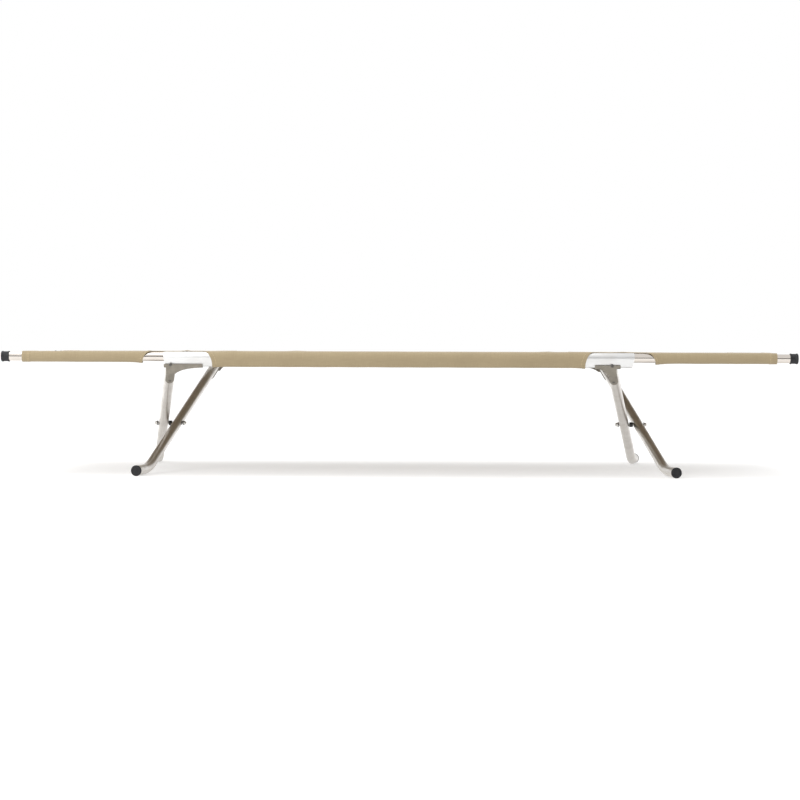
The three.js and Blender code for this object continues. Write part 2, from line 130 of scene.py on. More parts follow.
class Finish:
    """A material being built. All its nodes but the shader, output and coordinates come from `node`."""

    def __init__(self, name, **shader):
        self.material = bpy.data.materials.new(name)
        self.material.use_nodes = True
        self.tree = self.material.node_tree
        self.tree.nodes.clear()
        self.shader = self.tree.nodes.new("ShaderNodeBsdfPrincipled")
        output = self.tree.nodes.new("ShaderNodeOutputMaterial")
        self.tree.links.new(self.shader.outputs["BSDF"], output.inputs["Surface"])
        self.coordinates = self.tree.nodes.new("ShaderNodeTexCoord")
        self.set(**shader)

    def feed(self, socket, value):
        if isinstance(value, Wire):
            self.tree.links.new(value.socket, socket)
        else:
            socket.default_value = value

    def node(self, kind, settings, sockets, out=0):
        """Adds a node: its settings first, then the values or links of its sockets, by number or name."""
        made = self.tree.nodes.new(kind)
        for name, value in settings.items():
            setattr(made, name, value)
        for key, value in sockets.items():
            self.feed(made.inputs[key], value)
        return Wire(self, made.outputs[out])

    def set(self, **sockets):
        """Sets the shader's own sockets, by name with _ for a space."""
        for name, value in sockets.items():
            self.feed(self.shader.inputs[name.replace("_", " ")], value)

    def place(self, scale=(1, 1, 1), uv=False):
        """Object coordinates in metres, or the piece's UV, times `scale`."""
        source = Wire(self, self.coordinates.outputs["UV" if uv else "Object"])
        return self.node("ShaderNodeMapping", {"vector_type": "POINT"}, {"Vector": source, "Scale": scale})

    def noise(self, vector, scale=1.0, detail=3.0, roughness=0.5, distortion=0.0):
        return self.node("ShaderNodeTexNoise", {"noise_dimensions": "3D"}, {
            "Vector": vector, "Scale": scale, "Detail": detail, "Roughness": roughness,
            "Distortion": distortion})

    def range(self, value, low, high, to_low=0.0, to_high=1.0):
        """`value` from low..high to to_low..to_high, held at the ends."""
        numbers = (value, low, high, to_low, to_high)
        return self.node("ShaderNodeMapRange", {"clamp": True}, dict(enumerate(numbers)))

    def mix(self, factor, first, second):
        """A colour between two, each three numbers or a link, on the node's own colour sockets."""
        first, second = [end if isinstance(end, Wire) else (*end, 1) for end in (first, second)]
        return self.node("ShaderNodeMix", {"data_type": "RGBA"}, {0: factor, 6: first, 7: second}, out=2)

    def split(self, vector):
        """The three numbers of a vector."""
        made = self.node("ShaderNodeSeparateXYZ", {}, {0: vector}).socket.node
        return [Wire(self, socket) for socket in made.outputs]

    def coat(self, colour, roughness, height, distance, strength):
        """Sets the colour, the roughness and the bump, and returns the material."""
        sockets = {"Height": height, "Distance": distance, "Strength": strength}
        self.set(Base_Color=colour, Roughness=roughness, Normal=self.node("ShaderNodeBump", {}, sockets))
        return self.material


def drawn_metal(name, colour, roughness, spread, lines=0.4):
    """Drawn or extruded aluminium: fine lines along the piece's length, smudges and a little dulling."""
    grime = (0.45, 0.42, 0.38)
    f = Finish(name, Metallic=1.0, IOR=1.45)
    lengthways = f.noise(f.place((6, 1400, 1400)), 1.0, 4, 0.6)
    smudges = f.noise(f.place((14, 30, 30)), 1.0, 5, 0.55, 0.4)
    specks = f.noise(f.place((900, 900, 900)), 1.0, 2, 0.5)
    dull = f.range(smudges, 0.42, 0.72)
    return f.coat(f.mix(dull * 0.28 + f.range(specks, 0.62, 0.8) * 0.1, colour, grime),
                  lengthways * lines * 0.2 + dull * spread + roughness,
                  lengthways * 0.8 + specks * 0.2, 0.02 * MM, 0.35)


def cast_finish():
    """Warm grey paint over a casting: sandy grain, slightly uneven colour."""
    f = Finish("bracket_casting", Metallic=0.35, IOR=1.45)
    grain = f.noise(f.place(), 1500, 3, 0.6)
    cloud = f.noise(f.place(), 55, 4, 0.6)
    return f.coat(f.mix(f.range(cloud, 0.35, 0.7), (0.25, 0.225, 0.186), (0.195, 0.176, 0.145)),
                  grain * 0.18 + cloud * 0.15 + 0.36, grain, 0.09 * MM, 0.5)


def rubber_finish():
    """Black moulded rubber with a fine bloom."""
    f = Finish("black_rubber", Metallic=0.0, IOR=1.5, Specular_IOR_Level=0.35)
    bloom = f.noise(f.place(), 120, 5, 0.65)
    grain = f.noise(f.place(), 2600, 2, 0.5)
    return f.coat(f.mix(f.range(bloom, 0.4, 0.75), (0.010, 0.010, 0.012), (0.026, 0.026, 0.028)),
                  bloom * 0.25 + grain * 0.1 + 0.42, grain, 0.05 * MM, 0.4)


def nylon_finish():
    """Black turned nylon."""
    f = Finish("black_nylon", Metallic=0.0, IOR=1.53)
    rings = f.noise(f.place((2500, 120, 120)), 1.0, 2, 0.5)
    return f.coat(f.mix(rings, (0.012, 0.012, 0.013), (0.022, 0.022, 0.024)),
                  rings * 0.2 + 0.32, rings, 0.03 * MM, 0.3)


def plated_finish(name, bright, dull):
    """Plated steel fasteners."""
    f = Finish(name, Metallic=1.0, IOR=1.45)
    cloud = f.noise(f.place(), 260, 4, 0.6)
    scratch = f.noise(f.place((2400, 300, 2400)), 1.0, 3, 0.6)
    return f.coat(f.mix(f.range(cloud, 0.4, 0.7), bright, dull),
                  cloud * 0.16 + scratch * 0.1 + 0.18, scratch, 0.02 * MM, 0.3)


def canvas_finish(name, light, mid, dark):
    """Plain-weave canvas. The UV map is the flat cloth in metres, so the weave follows the cloth."""
    f = Finish(name, Metallic=0.0, IOR=1.45, Specular_IOR_Level=0.25, Sheen_Weight=0.18,
               Sheen_Roughness=0.5)
    pitch = 0.85 * MM
    cloth = f.place(uv=True)
    along, across, _ = f.split(cloth)
    slub = f.noise(cloth, 190, 3, 0.6)
    u = along * (1 / pitch) + slub * 0.25
    v = across * (1 / pitch) + slub * 0.25
    over = ((u.floor() + v.floor()) * 0.5).fraction().over(0.25)
    warp = (u * math.pi).sine().abs()
    weft = (v * math.pi).sine().abs()
    height = over * (warp * 0.75 + weft * 0.25) + (1 - over) * (weft * 0.75 + warp * 0.25)
    threads = f.noise(f.place((34, 1250, 1), uv=True), 1.0, 2, 0.5) * 0.5
    threads = threads + f.noise(f.place((1250, 34, 1), uv=True), 1.0, 2, 0.5) * 0.5
    cloud = f.noise(cloth, 9, 5, 0.6, 0.3)
    tone = f.mix(f.range(threads, 0.38, 0.62), mid, light)
    # Painted shade: the colour goes towards the dark tone in the low hollows between the threads
    tone = f.mix(f.range(height, 0.0, 0.75, 0.55, 0.0), tone, dark)
    return f.coat(f.mix(f.range(cloud, 0.4, 0.75, 0.0, 0.25), tone, dark),
                  threads * 0.15 + 0.78, height + threads * 0.6, 0.16 * MM, 0.5)


def thread_finish():
    """Tan sewing thread, a shade lighter than the canvas, twisted."""
    f = Finish("tan_thread", Metallic=0.0, IOR=1.45, Specular_IOR_Level=0.3, Sheen_Weight=0.2)
    twist = f.noise(f.place(), 2200, 2, 0.5)
    return f.coat(f.mix(twist, (0.50, 0.38, 0.22), (0.66, 0.53, 0.34)),
                  twist * 0.2 + 0.6, twist, 0.08 * MM, 0.5)


FINISH = {
    "rail_extrusion": drawn_metal("rail_extrusion", (0.72, 0.72, 0.715), 0.36, 0.08),
    "bright_tube": drawn_metal("bright_tube", (0.66, 0.61, 0.56), 0.09, 0.07, 0.2),
    "leg_tube": drawn_metal("leg_tube", (0.70, 0.675, 0.64), 0.26, 0.12),
    "bracket_casting": cast_finish(),
    "black_rubber": rubber_finish(),
    "black_nylon": nylon_finish(),
    "fastener_steel": plated_finish("fastener_steel", (0.74, 0.73, 0.70), (0.60, 0.58, 0.54)),
    "canvas": canvas_finish("tan_canvas", (0.352, 0.284, 0.177), (0.303, 0.243, 0.149),
                            (0.225, 0.174, 0.103)),
}
DARK_STEEL = plated_finish("darkened_steel", (0.16, 0.15, 0.14), (0.09, 0.085, 0.08))
# A darker copy of the canvas for the panel's lower face: painted shade, for the legs to mirror
PAINTED_SHADE_UNDERSIDE = canvas_finish("canvas_underside_painted_shade", (0.21, 0.165, 0.115), (0.18, 0.14, 0.095),
                          (0.13, 0.10, 0.068))


# ---- Modelling helpers ----
def start(name, add, **options):
    """Adds a primitive with nothing else selected and returns it, named, with its place in its mesh."""
    if bpy.context.object and bpy.context.object.mode != "OBJECT":
        bpy.ops.object.mode_set(mode="OBJECT")
    bpy.ops.object.select_all(action="DESELECT")
    add(**options)
    made = bpy.context.object
    made.name = name
    made.data.name = name
    bpy.ops.object.transform_apply(location=True, rotation=True, scale=True)
    return made


def put(name, data):
    """An object of this data in the scene, at the origin."""
    made = bpy.data.objects.new(name, data)
    bpy.context.scene.collection.objects.link(made)
    return made


def put_mesh(name, points, faces):
    mesh = bpy.data.meshes.new(name)
    mesh.from_pydata(points, [], faces)
    return put(name, mesh)


def pick(*pieces):
    """Selects these pieces and nothing else. The first becomes the active one."""
    bpy.ops.object.select_all(action="DESELECT")
    for piece in pieces:
        piece.select_set(True)
    bpy.context.view_layer.objects.active = pieces[0]


def edit(piece):
    """Opens a piece in edit mode with all of it selected."""
    pick(piece)
    bpy.ops.object.mode_set(mode="EDIT")
    bpy.ops.mesh.select_mode(type="VERT")
    bpy.ops.mesh.select_all(action="SELECT")


def leave_edit():
    bpy.ops.object.mode_set(mode="OBJECT")


def select_where(piece, test):
    """In edit mode, leaves selected only the vertices whose place passes the test."""
    bpy.ops.mesh.select_all(action="DESELECT")
    bpy.ops.object.mode_set(mode="OBJECT")
    for vertex in piece.data.vertices:
        vertex.select = bool(test(vertex.co))
    bpy.ops.object.mode_set(mode="EDIT")


def extrude(move):
    bpy.ops.mesh.extrude_region_move(TRANSFORM_OT_translate={"value": tuple(move)})


def cut(piece, point, normal, fill=False):
    """Cuts away what lies on the side that the normal points to."""
    edit(piece)
    bpy.ops.mesh.bisect(plane_co=tuple(point), plane_no=tuple(normal), use_fill=fill, clear_outer=True)
    leave_edit()


def modify(piece, kind, **settings):
    """Adds a modifier, sets it and applies it."""
    pick(piece)
    modifier = piece.modifiers.new(kind.lower(), kind)
    for key, value in settings.items():
        setattr(modifier, key, value)
    bpy.ops.object.modifier_apply(modifier=modifier.name)


def tidy(piece, smooth_angle=35):
    """Merges doubles, points faces outwards and shades smooth up to an angle."""
    edit(piece)
    bpy.ops.mesh.remove_doubles(threshold=0.005 * MM)
    bpy.ops.mesh.normals_make_consistent(inside=False)
    leave_edit()
    bpy.ops.object.shade_smooth_by_angle(angle=math.radians(smooth_angle))


def wall(piece, thickness):
    """Gives an open skin a wall on its inner side."""
    edit(piece)
    bpy.ops.mesh.normals_make_consistent(inside=False)
    leave_edit()
    modify(piece, "SOLIDIFY", thickness=thickness, offset=-1, use_even_offset=True)


def soften(piece, width, segments=2, angle=40):
    modify(piece, "BEVEL", width=width, segments=segments, limit_method="ANGLE",
           angle_limit=math.radians(angle), use_clamp_overlap=True)


def move_to(piece, matrix):
    """Moves a piece's mesh and leaves its object at the origin."""
    piece.data.transform(matrix)
    if matrix.determinant() < 0:
        piece.data.flip_normals()
    piece.data.update()
    return piece


def copy_of(piece, name, matrix):
    made = piece.copy()
    made.data = piece.data.copy()
    made.name = name
    made.data.name = name
    bpy.context.scene.collection.objects.link(made)
    return move_to(made, matrix)


def join(pieces):
    pick(*pieces)
    bpy.ops.object.join()
    return pieces[0]


def outline(name, points):
    """A chain of points in order, each drawn from the one before it. Leaves it open in edit mode."""
    made = start(name, bpy.ops.mesh.primitive_plane_add, size=1 * MM, location=points[0])
    edit(made)
    bpy.ops.mesh.merge(type="CENTER")
    for before, after in zip(points, points[1:]):
        extrude(Vector(after) - Vector(before))
    return made


def turned(name, profile, steps=ROUND, bevel=0.3 * MM):
    """A piece turned about Z from a profile of (radius, height), from axis to axis or closed."""
    made = outline(name, [(radius, 0, height) for radius, height in profile])
    bpy.ops.mesh.select_all(action="SELECT")
    bpy.ops.mesh.spin(steps=steps, angle=2 * math.pi, center=(0, 0, 0), axis=(0, 0, 1))
    leave_edit()
    tidy(made)
    if bevel:
        soften(made, bevel)
        tidy(made)
    return made


def millimetres(*points):
    return [(radius * MM, height * MM) for radius, height in points]


def aim(origin, direction):
    """The matrix that takes +Z at the origin to `direction` at `origin`."""
    turn = Vector(direction).to_track_quat("Z", "Y").to_matrix().to_4x4()
    return Matrix.Translation(Vector(origin)) @ turn


def arc(centre_at, radius, start_angle, end_angle, steps):
    """Points on an arc in a plane, angles in degrees."""
    angles = np.radians(np.linspace(start_angle, end_angle, steps + 1))
    return [(centre_at[0] + radius * math.cos(a), centre_at[1] + radius * math.sin(a)) for a in angles]


# ---- Placing finished pieces ----
def fit(piece, body, slot, nodes, finish=None):
    """Gives a finished piece its finish, its body and the CAD nodes that it stands for."""
    piece.data.materials.clear()
    piece.data.materials.append(finish or FINISH[slot])
    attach(piece, body)
    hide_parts(*nodes)


def side_at(half, side):
    """The side that a piece of this half stands on once the half is turned: the far half swaps ends."""
    if half == "near":
        return side
    return "left" if side == "right" else "right"


def fit_both(piece, name, side, part, body, slot, finish=None):
    """Fits a near-half piece and its half-turned copy on the far half."""
    for half, turn in HALVES.items():
        stands = f"{half}_{side_at(half, side)}" if side else half
        made = copy_of(piece, f"{stands}_{name}", turn)
        fit(made, body.format(half=half, stands=stands), slot, [f"{stands}_{part}"], finish)
    bpy.data.objects.remove(piece)


# ---- Rails ----
def rail_section(name, offset=0.0):
    """The middle rail's outline at x = 0: a circle whose lower part is drawn in and down."""
    made = start(name, bpy.ops.mesh.primitive_circle_add, vertices=72, radius=RAIL_HEAD_RADIUS,
                 fill_type="NOTHING", rotation=(0, math.pi / 2, 0))
    drop = (RAIL_Z - RAIL_LOW.z) - RAIL_TAIL_RADIUS
    tangent = math.asin((RAIL_HEAD_RADIUS - RAIL_TAIL_RADIUS) / drop)
    head, tail = RAIL_HEAD_RADIUS + offset, RAIL_TAIL_RADIUS + offset
    edit(made)
    bpy.ops.transform.resize(value=(head / RAIL_HEAD_RADIUS,) * 3, center_override=(0, 0, 0))
    select_where(made, lambda at: at.z < -head * math.sin(tangent))
    bpy.ops.transform.resize(value=(tail / head,) * 3, center_override=(0, 0, 0))
    bpy.ops.transform.translate(value=(0, 0, -drop))
    leave_edit()
    return made


def middle_rail():
    """The extruded rail between the two leg brackets, open at both ends."""
    slant = 0.24
    slant_top = RAIL_Z - 4 * MM
    rail = rail_section("middle_rail")
    edit(rail)
    bpy.ops.transform.translate(value=(RAIL_LOW.x, RAIL_Y, RAIL_Z))
    stations = np.linspace(RAIL_LOW.x, RAIL_HIGH.x, 9)
    for before, after in zip(stations, stations[1:]):
        extrude((after - before, 0, 0))
    leave_edit()
    # The tail is cut back on a slant at both ends
    for way, x in ((-1, RAIL_LOW.x), (1, RAIL_HIGH.x)):
        cut(rail, (x, 0, slant_top), (way * math.cos(slant), 0, -math.sin(slant)))
    wall(rail, RAIL_WALL)
    soften(rail, 0.25 * MM, 2, 50)
    tidy(rail)
    fit_both(rail, "middle_rail_tube", "", "middle_rail", "{half}_frame", "rail_extrusion")


def end_rails():
    """The thin tubes pushed into the ends of the middle rails."""
    for side in SIDES:
        low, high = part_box(f"near_{side}_end_rail")
        bore = END_TUBE_RADIUS - END_TUBE_WALL
        length = high.x - low.x
        tube = turned("end_tube", [(bore, 0), (END_TUBE_RADIUS, 0), (END_TUBE_RADIUS, length / 2),
                                   (END_TUBE_RADIUS, length), (bore, length), (bore, 0)])
        move_to(tube, aim((low.x, RAIL_Y, RAIL_Z), (1, 0, 0)))
        fit_both(tube, "end_tube", side, "end_rail", "{stands}_end_pole", "bright_tube")


def rail_caps():
    """Spool-shaped rubber caps: two rims, a waist, a slightly domed face with a moulded ring."""
    for side, way in SIDES.items():
        low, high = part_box(f"near_{side}_rail_cap")
        length = high.x - low.x
        rim = (high.z - low.z) / 2
        waist = rim - 0.9 * MM
        bore = END_TUBE_RADIUS + GAP
        bore_end = length - 4 * MM
        edge = 2 * MM
        profile = [(0, bore_end), (bore, bore_end), (bore, 0), (rim - 0.2 * MM, 0), (rim, 0.8 * MM)]
        profile += [(rim, 2.4 * MM), (waist + 0.2 * MM, 3.6 * MM), (waist, 6 * MM)]
        profile += [(waist, length - 8 * MM), (waist + 0.2 * MM, length - 5.4 * MM)]
        profile += [(rim, length - 4.2 * MM)]
        profile += arc((rim - edge, length - edge), edge, 0, 80, 5)
        profile += [(rim * 0.62, length - 0.15 * MM), (rim * 0.58, length - 0.5 * MM)]
        profile += [(rim * 0.50, length - 0.5 * MM), (rim * 0.46, length - 0.1 * MM), (0, length)]
        cap = turned("rail_cap", profile, bevel=0.25 * MM)
        mouth = low.x if way > 0 else high.x
        move_to(cap, aim((mouth, RAIL_Y, RAIL_Z), (way, 0, 0)))
        fit_both(cap, "rail_end_cap", side, "rail_cap", "{stands}_end_pole", "black_rubber")


# ---- Legs ----
class Leg:
    """The line of one near-half leg: down from under the rail, through its pivot, to a level foot."""

    def __init__(self, side):
        self.side = side
        self.way = SIDES[side]
        self.top = Vector((centre(f"near_{side}_rail_screw").x, RAIL_Y, RAIL_LOW.z))
        foot_low, foot_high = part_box(f"near_{side}_foot_cap")
        foot_z = (foot_low.z + foot_high.z) / 2
        run = Vector((self.crossing() - self.top.x, -RAIL_Y, 0))
        self.heading = run.normalized()
        self.slope = math.atan2(self.top.z - PIVOT_Z, -RAIL_Y / self.heading.y)
        self.down = self.heading * math.cos(self.slope) - Vector((0, 0, math.sin(self.slope)))
        self.under = -self.heading * math.sin(self.slope) - Vector((0, 0, math.cos(self.slope)))
        self.straight = (self.top.z - foot_z) / math.sin(self.slope)
        self.corner = self.at(self.straight)
        pad_edge = 1.5 * MM
        end_y = foot_high.y - (foot_z - foot_low.z - pad_edge) * abs(self.heading.x)
        self.level = (end_y - self.corner.y) / self.heading.y

    def crossing(self):
        """Where the leg's axis passes the pivot bolt: between the spacer and one of the washers."""
        faces = {}
        for part in ("outer_washer", "spacer", "inner_washer"):
            low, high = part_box(f"{self.side}_pivot_{part}")
            faces[part] = sorted((abs(low.x), abs(high.x)))
        if abs(self.top.x) > abs(centre(f"far_{self.side}_rail_screw").x):
            return self.way * (faces["outer_washer"][0] + faces["spacer"][1]) / 2
        return self.way * (faces["inner_washer"][1] + faces["spacer"][0]) / 2

    def at(self, distance, depth=0.0):
        """A point down the leg from its top, `depth` below its axis."""
        return self.top + self.down * distance + self.under * depth


LEGS = {side: Leg(side) for side in SIDES}


def leg_tube(leg):
    """One bent tube: a ring extruded down the slope, spun through the bend and extruded level."""
    setback = LEG_BEND_RADIUS * math.tan(leg.slope / 2)
    lead = 4 * LEG_RADIUS
    begin = leg.at(-lead)
    tube = start("leg_tube", bpy.ops.mesh.primitive_circle_add, vertices=ROUND, radius=LEG_RADIUS,
                 fill_type="NOTHING")
    move_to(tube, aim(begin, leg.down))
    edit(tube)
    spans = 6
    for _ in range(spans):
        extrude(leg.down * (lead + leg.straight - setback) / spans)
    bend_centre = leg.at(leg.straight - setback, -LEG_BEND_RADIUS)
    axis = leg.down.cross(leg.under)
    bpy.ops.mesh.spin(steps=14, angle=leg.slope, center=tuple(bend_centre), axis=tuple(axis))
    extrude(leg.heading * (leg.level - FOOT_PAD - GAP - setback))
    leave_edit()
    trim_under_rail(tube)
    wall(tube, LEG_WALL)
    tidy(tube)
    pivot_x = leg.top.x - leg.heading.x / leg.heading.y * RAIL_Y
    bore = start("pivot_bore", bpy.ops.mesh.primitive_cylinder_add, vertices=40,
                 radius=BOLT_RADIUS + 0.1 * MM, depth=60 * MM, rotation=(0, math.pi / 2, 0),
                 location=(pivot_x, 0, PIVOT_Z))
    combine(tube, bore, "DIFFERENCE")
    tidy(tube)
    fit_both(tube, "leg_tube", leg.side, "leg", "{half}_frame", "leg_tube")


def trim_under_rail(piece):
    """Stops a leg short of the bracket's cheek in front of it and of the trough over it."""
    cut(piece, (0, CHEEK_INNER_Y + GAP, 0), (0, -1, 0))
    cut(piece, (0, 0, RAIL_LOW.z - TROUGH_DEPTH - GAP), (0, 0, 1))


def foot_caps():
    """Rubber feet: a ribbed plug in the tube's end behind a round pad with a dished face."""
    for side, leg in LEGS.items():
        radius = leg.corner.z
        length = FOOT_PLUG + FOOT_PAD
        plug = LEG_RADIUS - LEG_WALL - GAP
        groove = plug - 0.6 * MM
        edge = 1.6 * MM
        profile = [(0, 0), (plug - 1 * MM, 0), (plug, 1.5 * MM)]
        for rib in range(4):
            foot = (3 + 3.6 * rib) * MM
            profile += [(plug, foot), (groove, foot + 0.7 * MM)]
            profile += [(groove, foot + 1.9 * MM), (plug, foot + 2.6 * MM)]
        profile += [(plug, FOOT_PLUG), (radius - 0.3 * MM, FOOT_PLUG), (radius, FOOT_PLUG + 0.4 * MM)]
        profile += arc((radius - edge, length - edge), edge, 0, 84, 5)
        profile += [(radius * 0.66, length - 0.05 * MM), (radius * 0.60, length - 0.7 * MM)]
        profile += [(radius * 0.2, length - 0.9 * MM), (0, length - 0.9 * MM)]
        cap = turned("foot_cap", profile, bevel=0.2 * MM)
        move_to(cap, aim(leg.corner + leg.heading * (leg.level - length), leg.heading))
        fit_both(cap, "foot_rubber", side, "foot_cap", "{half}_frame", "black_rubber")


# ---- Brackets ----
def close_and_extrude(piece, depth):
    """Fills a closed outline and gives it depth."""
    edit(piece)
    bpy.ops.mesh.edge_face_add()
    extrude(depth)
    leave_edit()
    tidy(piece)
    return piece


def plate(name, points, depth):
    """A closed outline of points with depth. Points that coincide are merged."""
    made = outline(name, points + points[:1])
    bpy.ops.mesh.select_all(action="SELECT")
    bpy.ops.mesh.remove_doubles(threshold=0.01 * MM)
    leave_edit()
    return close_and_extrude(made, depth)


def combine(piece, tool, operation):
    """Joins a piece with a tool or cuts it by one, and deletes the tool."""
    modify(piece, "BOOLEAN", operation=operation, object=tool, solver="EXACT")
    bpy.data.objects.remove(tool)
    return piece


def bracket_cheek(leg, tip_x, end_x):
    """The plate in front of the rail's tail: it tapers from the strap to a rounded tip."""
    toward = math.copysign(1, tip_x - end_x)
    bottom = RAIL_LOW.z
    tip_bottom = bottom - 3 * MM
    tip_radius = (CHEEK_TOP - tip_bottom) / 2
    half = STRAP_WIDTH / 2
    drop = 19 * MM
    root_x = leg.top.x + toward * half
    corner = 1.2 * MM
    points = [(end_x, bottom + 4 * MM)]
    points += [(end_x + toward * x, z) for x, z in arc((corner, CHEEK_TOP - corner), corner, 180, 90, 4)]
    points += [(tip_x - toward * (tip_radius - x), z)
               for x, z in arc((0, CHEEK_TOP - tip_radius), tip_radius, 90, -90, 10)]
    bend = Vector((root_x + toward * 0.24 * abs(tip_x - root_x), tip_bottom - 1.5 * MM))
    first, last = Vector((tip_x - toward * tip_radius, tip_bottom)), Vector((root_x, bottom - drop))
    for step in np.linspace(0, 1, 13)[1:]:
        points.append(tuple(first * (1 - step) ** 2 + bend * 2 * step * (1 - step) + last * step ** 2))
    points += [(leg.top.x - toward * half, bottom - drop), (leg.top.x - toward * half, bottom - 3 * MM)]
    return plate("cheek", [(x, CHEEK_OUTER_Y, z) for x, z in points], (0, BRACKET_WALL, 0))


def rail_prism(name, offset, low_x, high_x):
    """A solid of the rail's outline, grown by `offset`."""
    prism = rail_section(name, offset)
    move_to(prism, Matrix.Translation((low_x, RAIL_Y, RAIL_Z)))
    return close_and_extrude(prism, (high_x - low_x, 0, 0))


def bracket_trough(low_x, high_x):
    """The channel that wraps the lower part of the rail, open upwards."""
    trough = rail_prism("trough", TROUGH_DEPTH, low_x, high_x)
    cut(trough, (0, 0, CHEEK_TOP), (0, 0, 1), fill=True)
    cut(trough, (0, CHEEK_OUTER_Y, 0), (0, -1, 0), fill=True)
    cut(trough, (0, 2 * RAIL_Y - CHEEK_OUTER_Y, 0), (0, 1, 0), fill=True)
    tidy(trough)
    return combine(trough, rail_prism("rail_room", GAP, low_x - 5 * MM, high_x + 5 * MM), "DIFFERENCE")


def bracket_strap(leg):
    """The tongue down the leg's underside: part of a shell round the leg, with a rounded end."""
    lead = 2 * LEG_RADIUS
    inner = LEG_RADIUS + GAP
    length = STRAP_LENGTH + lead + 2 * MM
    profile = [(inner, 0), (STRAP_FACE, 0), (STRAP_FACE, length), (inner, length), (inner, 0)]
    shell = turned("strap", profile, steps=96, bevel=0)
    half = STRAP_WIDTH / 2
    level = STRAP_LENGTH + lead - half
    points = [(half, 0)] + arc((0, level), half, 0, 180, 18) + [(-half, 0)]
    mask = plate("strap_outline", [(x, LEG_RADIUS / 2, z) for x, z in points], (0, LEG_RADIUS, 0))
    combine(shell, mask, "INTERSECT")
    axes = Matrix((leg.under.cross(leg.down), leg.under, leg.down)).transposed().to_4x4()
    move_to(shell, Matrix.Translation(leg.at(-lead)) @ axes)
    cut(shell, (0, CHEEK_OUTER_Y, 0), (0, -1, 0), fill=True)
    cut(shell, (0, 0, RAIL_LOW.z - GAP), (0, 0, 1), fill=True)
    tidy(shell)
    return shell


def brackets():
    """Cheek, trough and strap fused to one casting with small fillets where they meet."""
    for side, leg in LEGS.items():
        low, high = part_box(f"near_{side}_leg_bracket")
        tip_x = min((low.x, high.x), key=abs)
        is_outer_leg = abs(leg.top.x) > NOTCH_X
        end_x = leg.top.x + leg.way * (17 * MM if is_outer_leg else 21 * MM)
        trough = bracket_trough(min(tip_x, end_x), max(tip_x, end_x))
        casting = join([bracket_cheek(leg, tip_x, end_x), trough, bracket_strap(leg)])
        casting.name = "leg_bracket"
        modify(casting, "REMESH", mode="VOXEL", voxel_size=0.65 * MM, adaptivity=0.0)
        modify(casting, "SMOOTH", factor=0.5, iterations=5)
        tidy(casting, 60)
        fit_both(casting, "leg_bracket_casting", side, "leg_bracket", "{half}_frame", "bracket_casting")


# ---- Fasteners and pivots ----
def rivets():
    """Blind rivets: a flanged dome with the mandrel's dimple."""
    for side, leg in LEGS.items():
        for number in (1, 2):
            part = f"leg_rivet_{number}"
            station = (centre(f"near_{side}_{part}") - leg.top).dot(leg.down)
            profile = millimetres((0, -1), (2, -1), (2, 0), (3.5, 0), (3.6, 0.35), (3.2, 0.8), (2.4, 1.3),
                                  (1.5, 1.6), (1.1, 1.6), (0.95, 1.1), (0.5, 0.9), (0, 0.9))
            rivet = turned("rivet", profile, steps=32, bevel=0)
            move_to(rivet, aim(leg.at(station, STRAP_FACE - 0.1 * MM), leg.under))
            fit_both(rivet, f"strap_rivet_{number}", side, part, "{half}_frame", "fastener_steel",
                     DARK_STEEL)


def rail_screws():
    """Pan-head screws with a cross recess, through the cheek into the rail."""
    for side, leg in LEGS.items():
        profile = millimetres((0, -1), (2, -1), (2, 0), (3.55, 0), (3.6, 0.4), (3.4, 1.0), (2.8, 1.5),
                              (1.6, 1.8), (0, 1.85))
        screw = turned("screw", profile, steps=40, bevel=0)
        for turn in (0, math.pi / 2):
            blade = start("blade", bpy.ops.mesh.primitive_cube_add, size=1, location=(0, 0, 1.5 * MM),
                          rotation=(0, 0, turn + 0.5), scale=(3.6 * MM, 0.65 * MM, 1.6 * MM))
            combine(screw, blade, "DIFFERENCE")
        tidy(screw)
        seat = (leg.top.x, CHEEK_OUTER_Y, RAIL_LOW.z + 4.5 * MM)
        move_to(screw, aim(seat, (0, -1, 0)))
        fit_both(screw, "cheek_screw", side, "rail_screw", "{half}_frame", "fastener_steel", DARK_STEEL)


def pivot_discs(side):
    """The black washers and spacer that the legs turn between."""
    for part in ("outer_washer", "spacer", "inner_washer"):
        node = f"{side}_pivot_{part}"
        low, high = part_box(node)
        radius, thick = (high.z - low.z) / 2, high.x - low.x
        profile = [(BOLT_BORE, 0), (radius, 0), (radius, thick), (BOLT_BORE, thick), (BOLT_BORE, 0)]
        disc = turned(f"{node}_disc", profile)
        move_to(disc, aim((low.x, 0, PIVOT_Z), (1, 0, 0)))
        fit(disc, "near_frame", "black_nylon", [node])


def pivot_bolt(side, way, seat, grip):
    """A shank through the whole stack, with a flanged, domed head on its outer side."""
    end = -grip - 3 * MM
    profile = [(0, end), (BOLT_RADIUS, end), (BOLT_RADIUS, 0)]
    profile += millimetres((5.6, 0), (5.6, 1.1), (5.2, 1.6), (4.7, 1.8), (4.5, 4.2), (3.9, 5.6),
                           (2.6, 6.6), (1.2, 7), (0, 7.1))
    bolt = turned(f"{side}_pivot_bolt_domed", profile, bevel=0.15 * MM)
    move_to(bolt, aim((seat, 0, PIVOT_Z), (way, 0, 0)))
    fit(bolt, "near_frame", "fastener_steel", [f"{side}_pivot_bolt"])


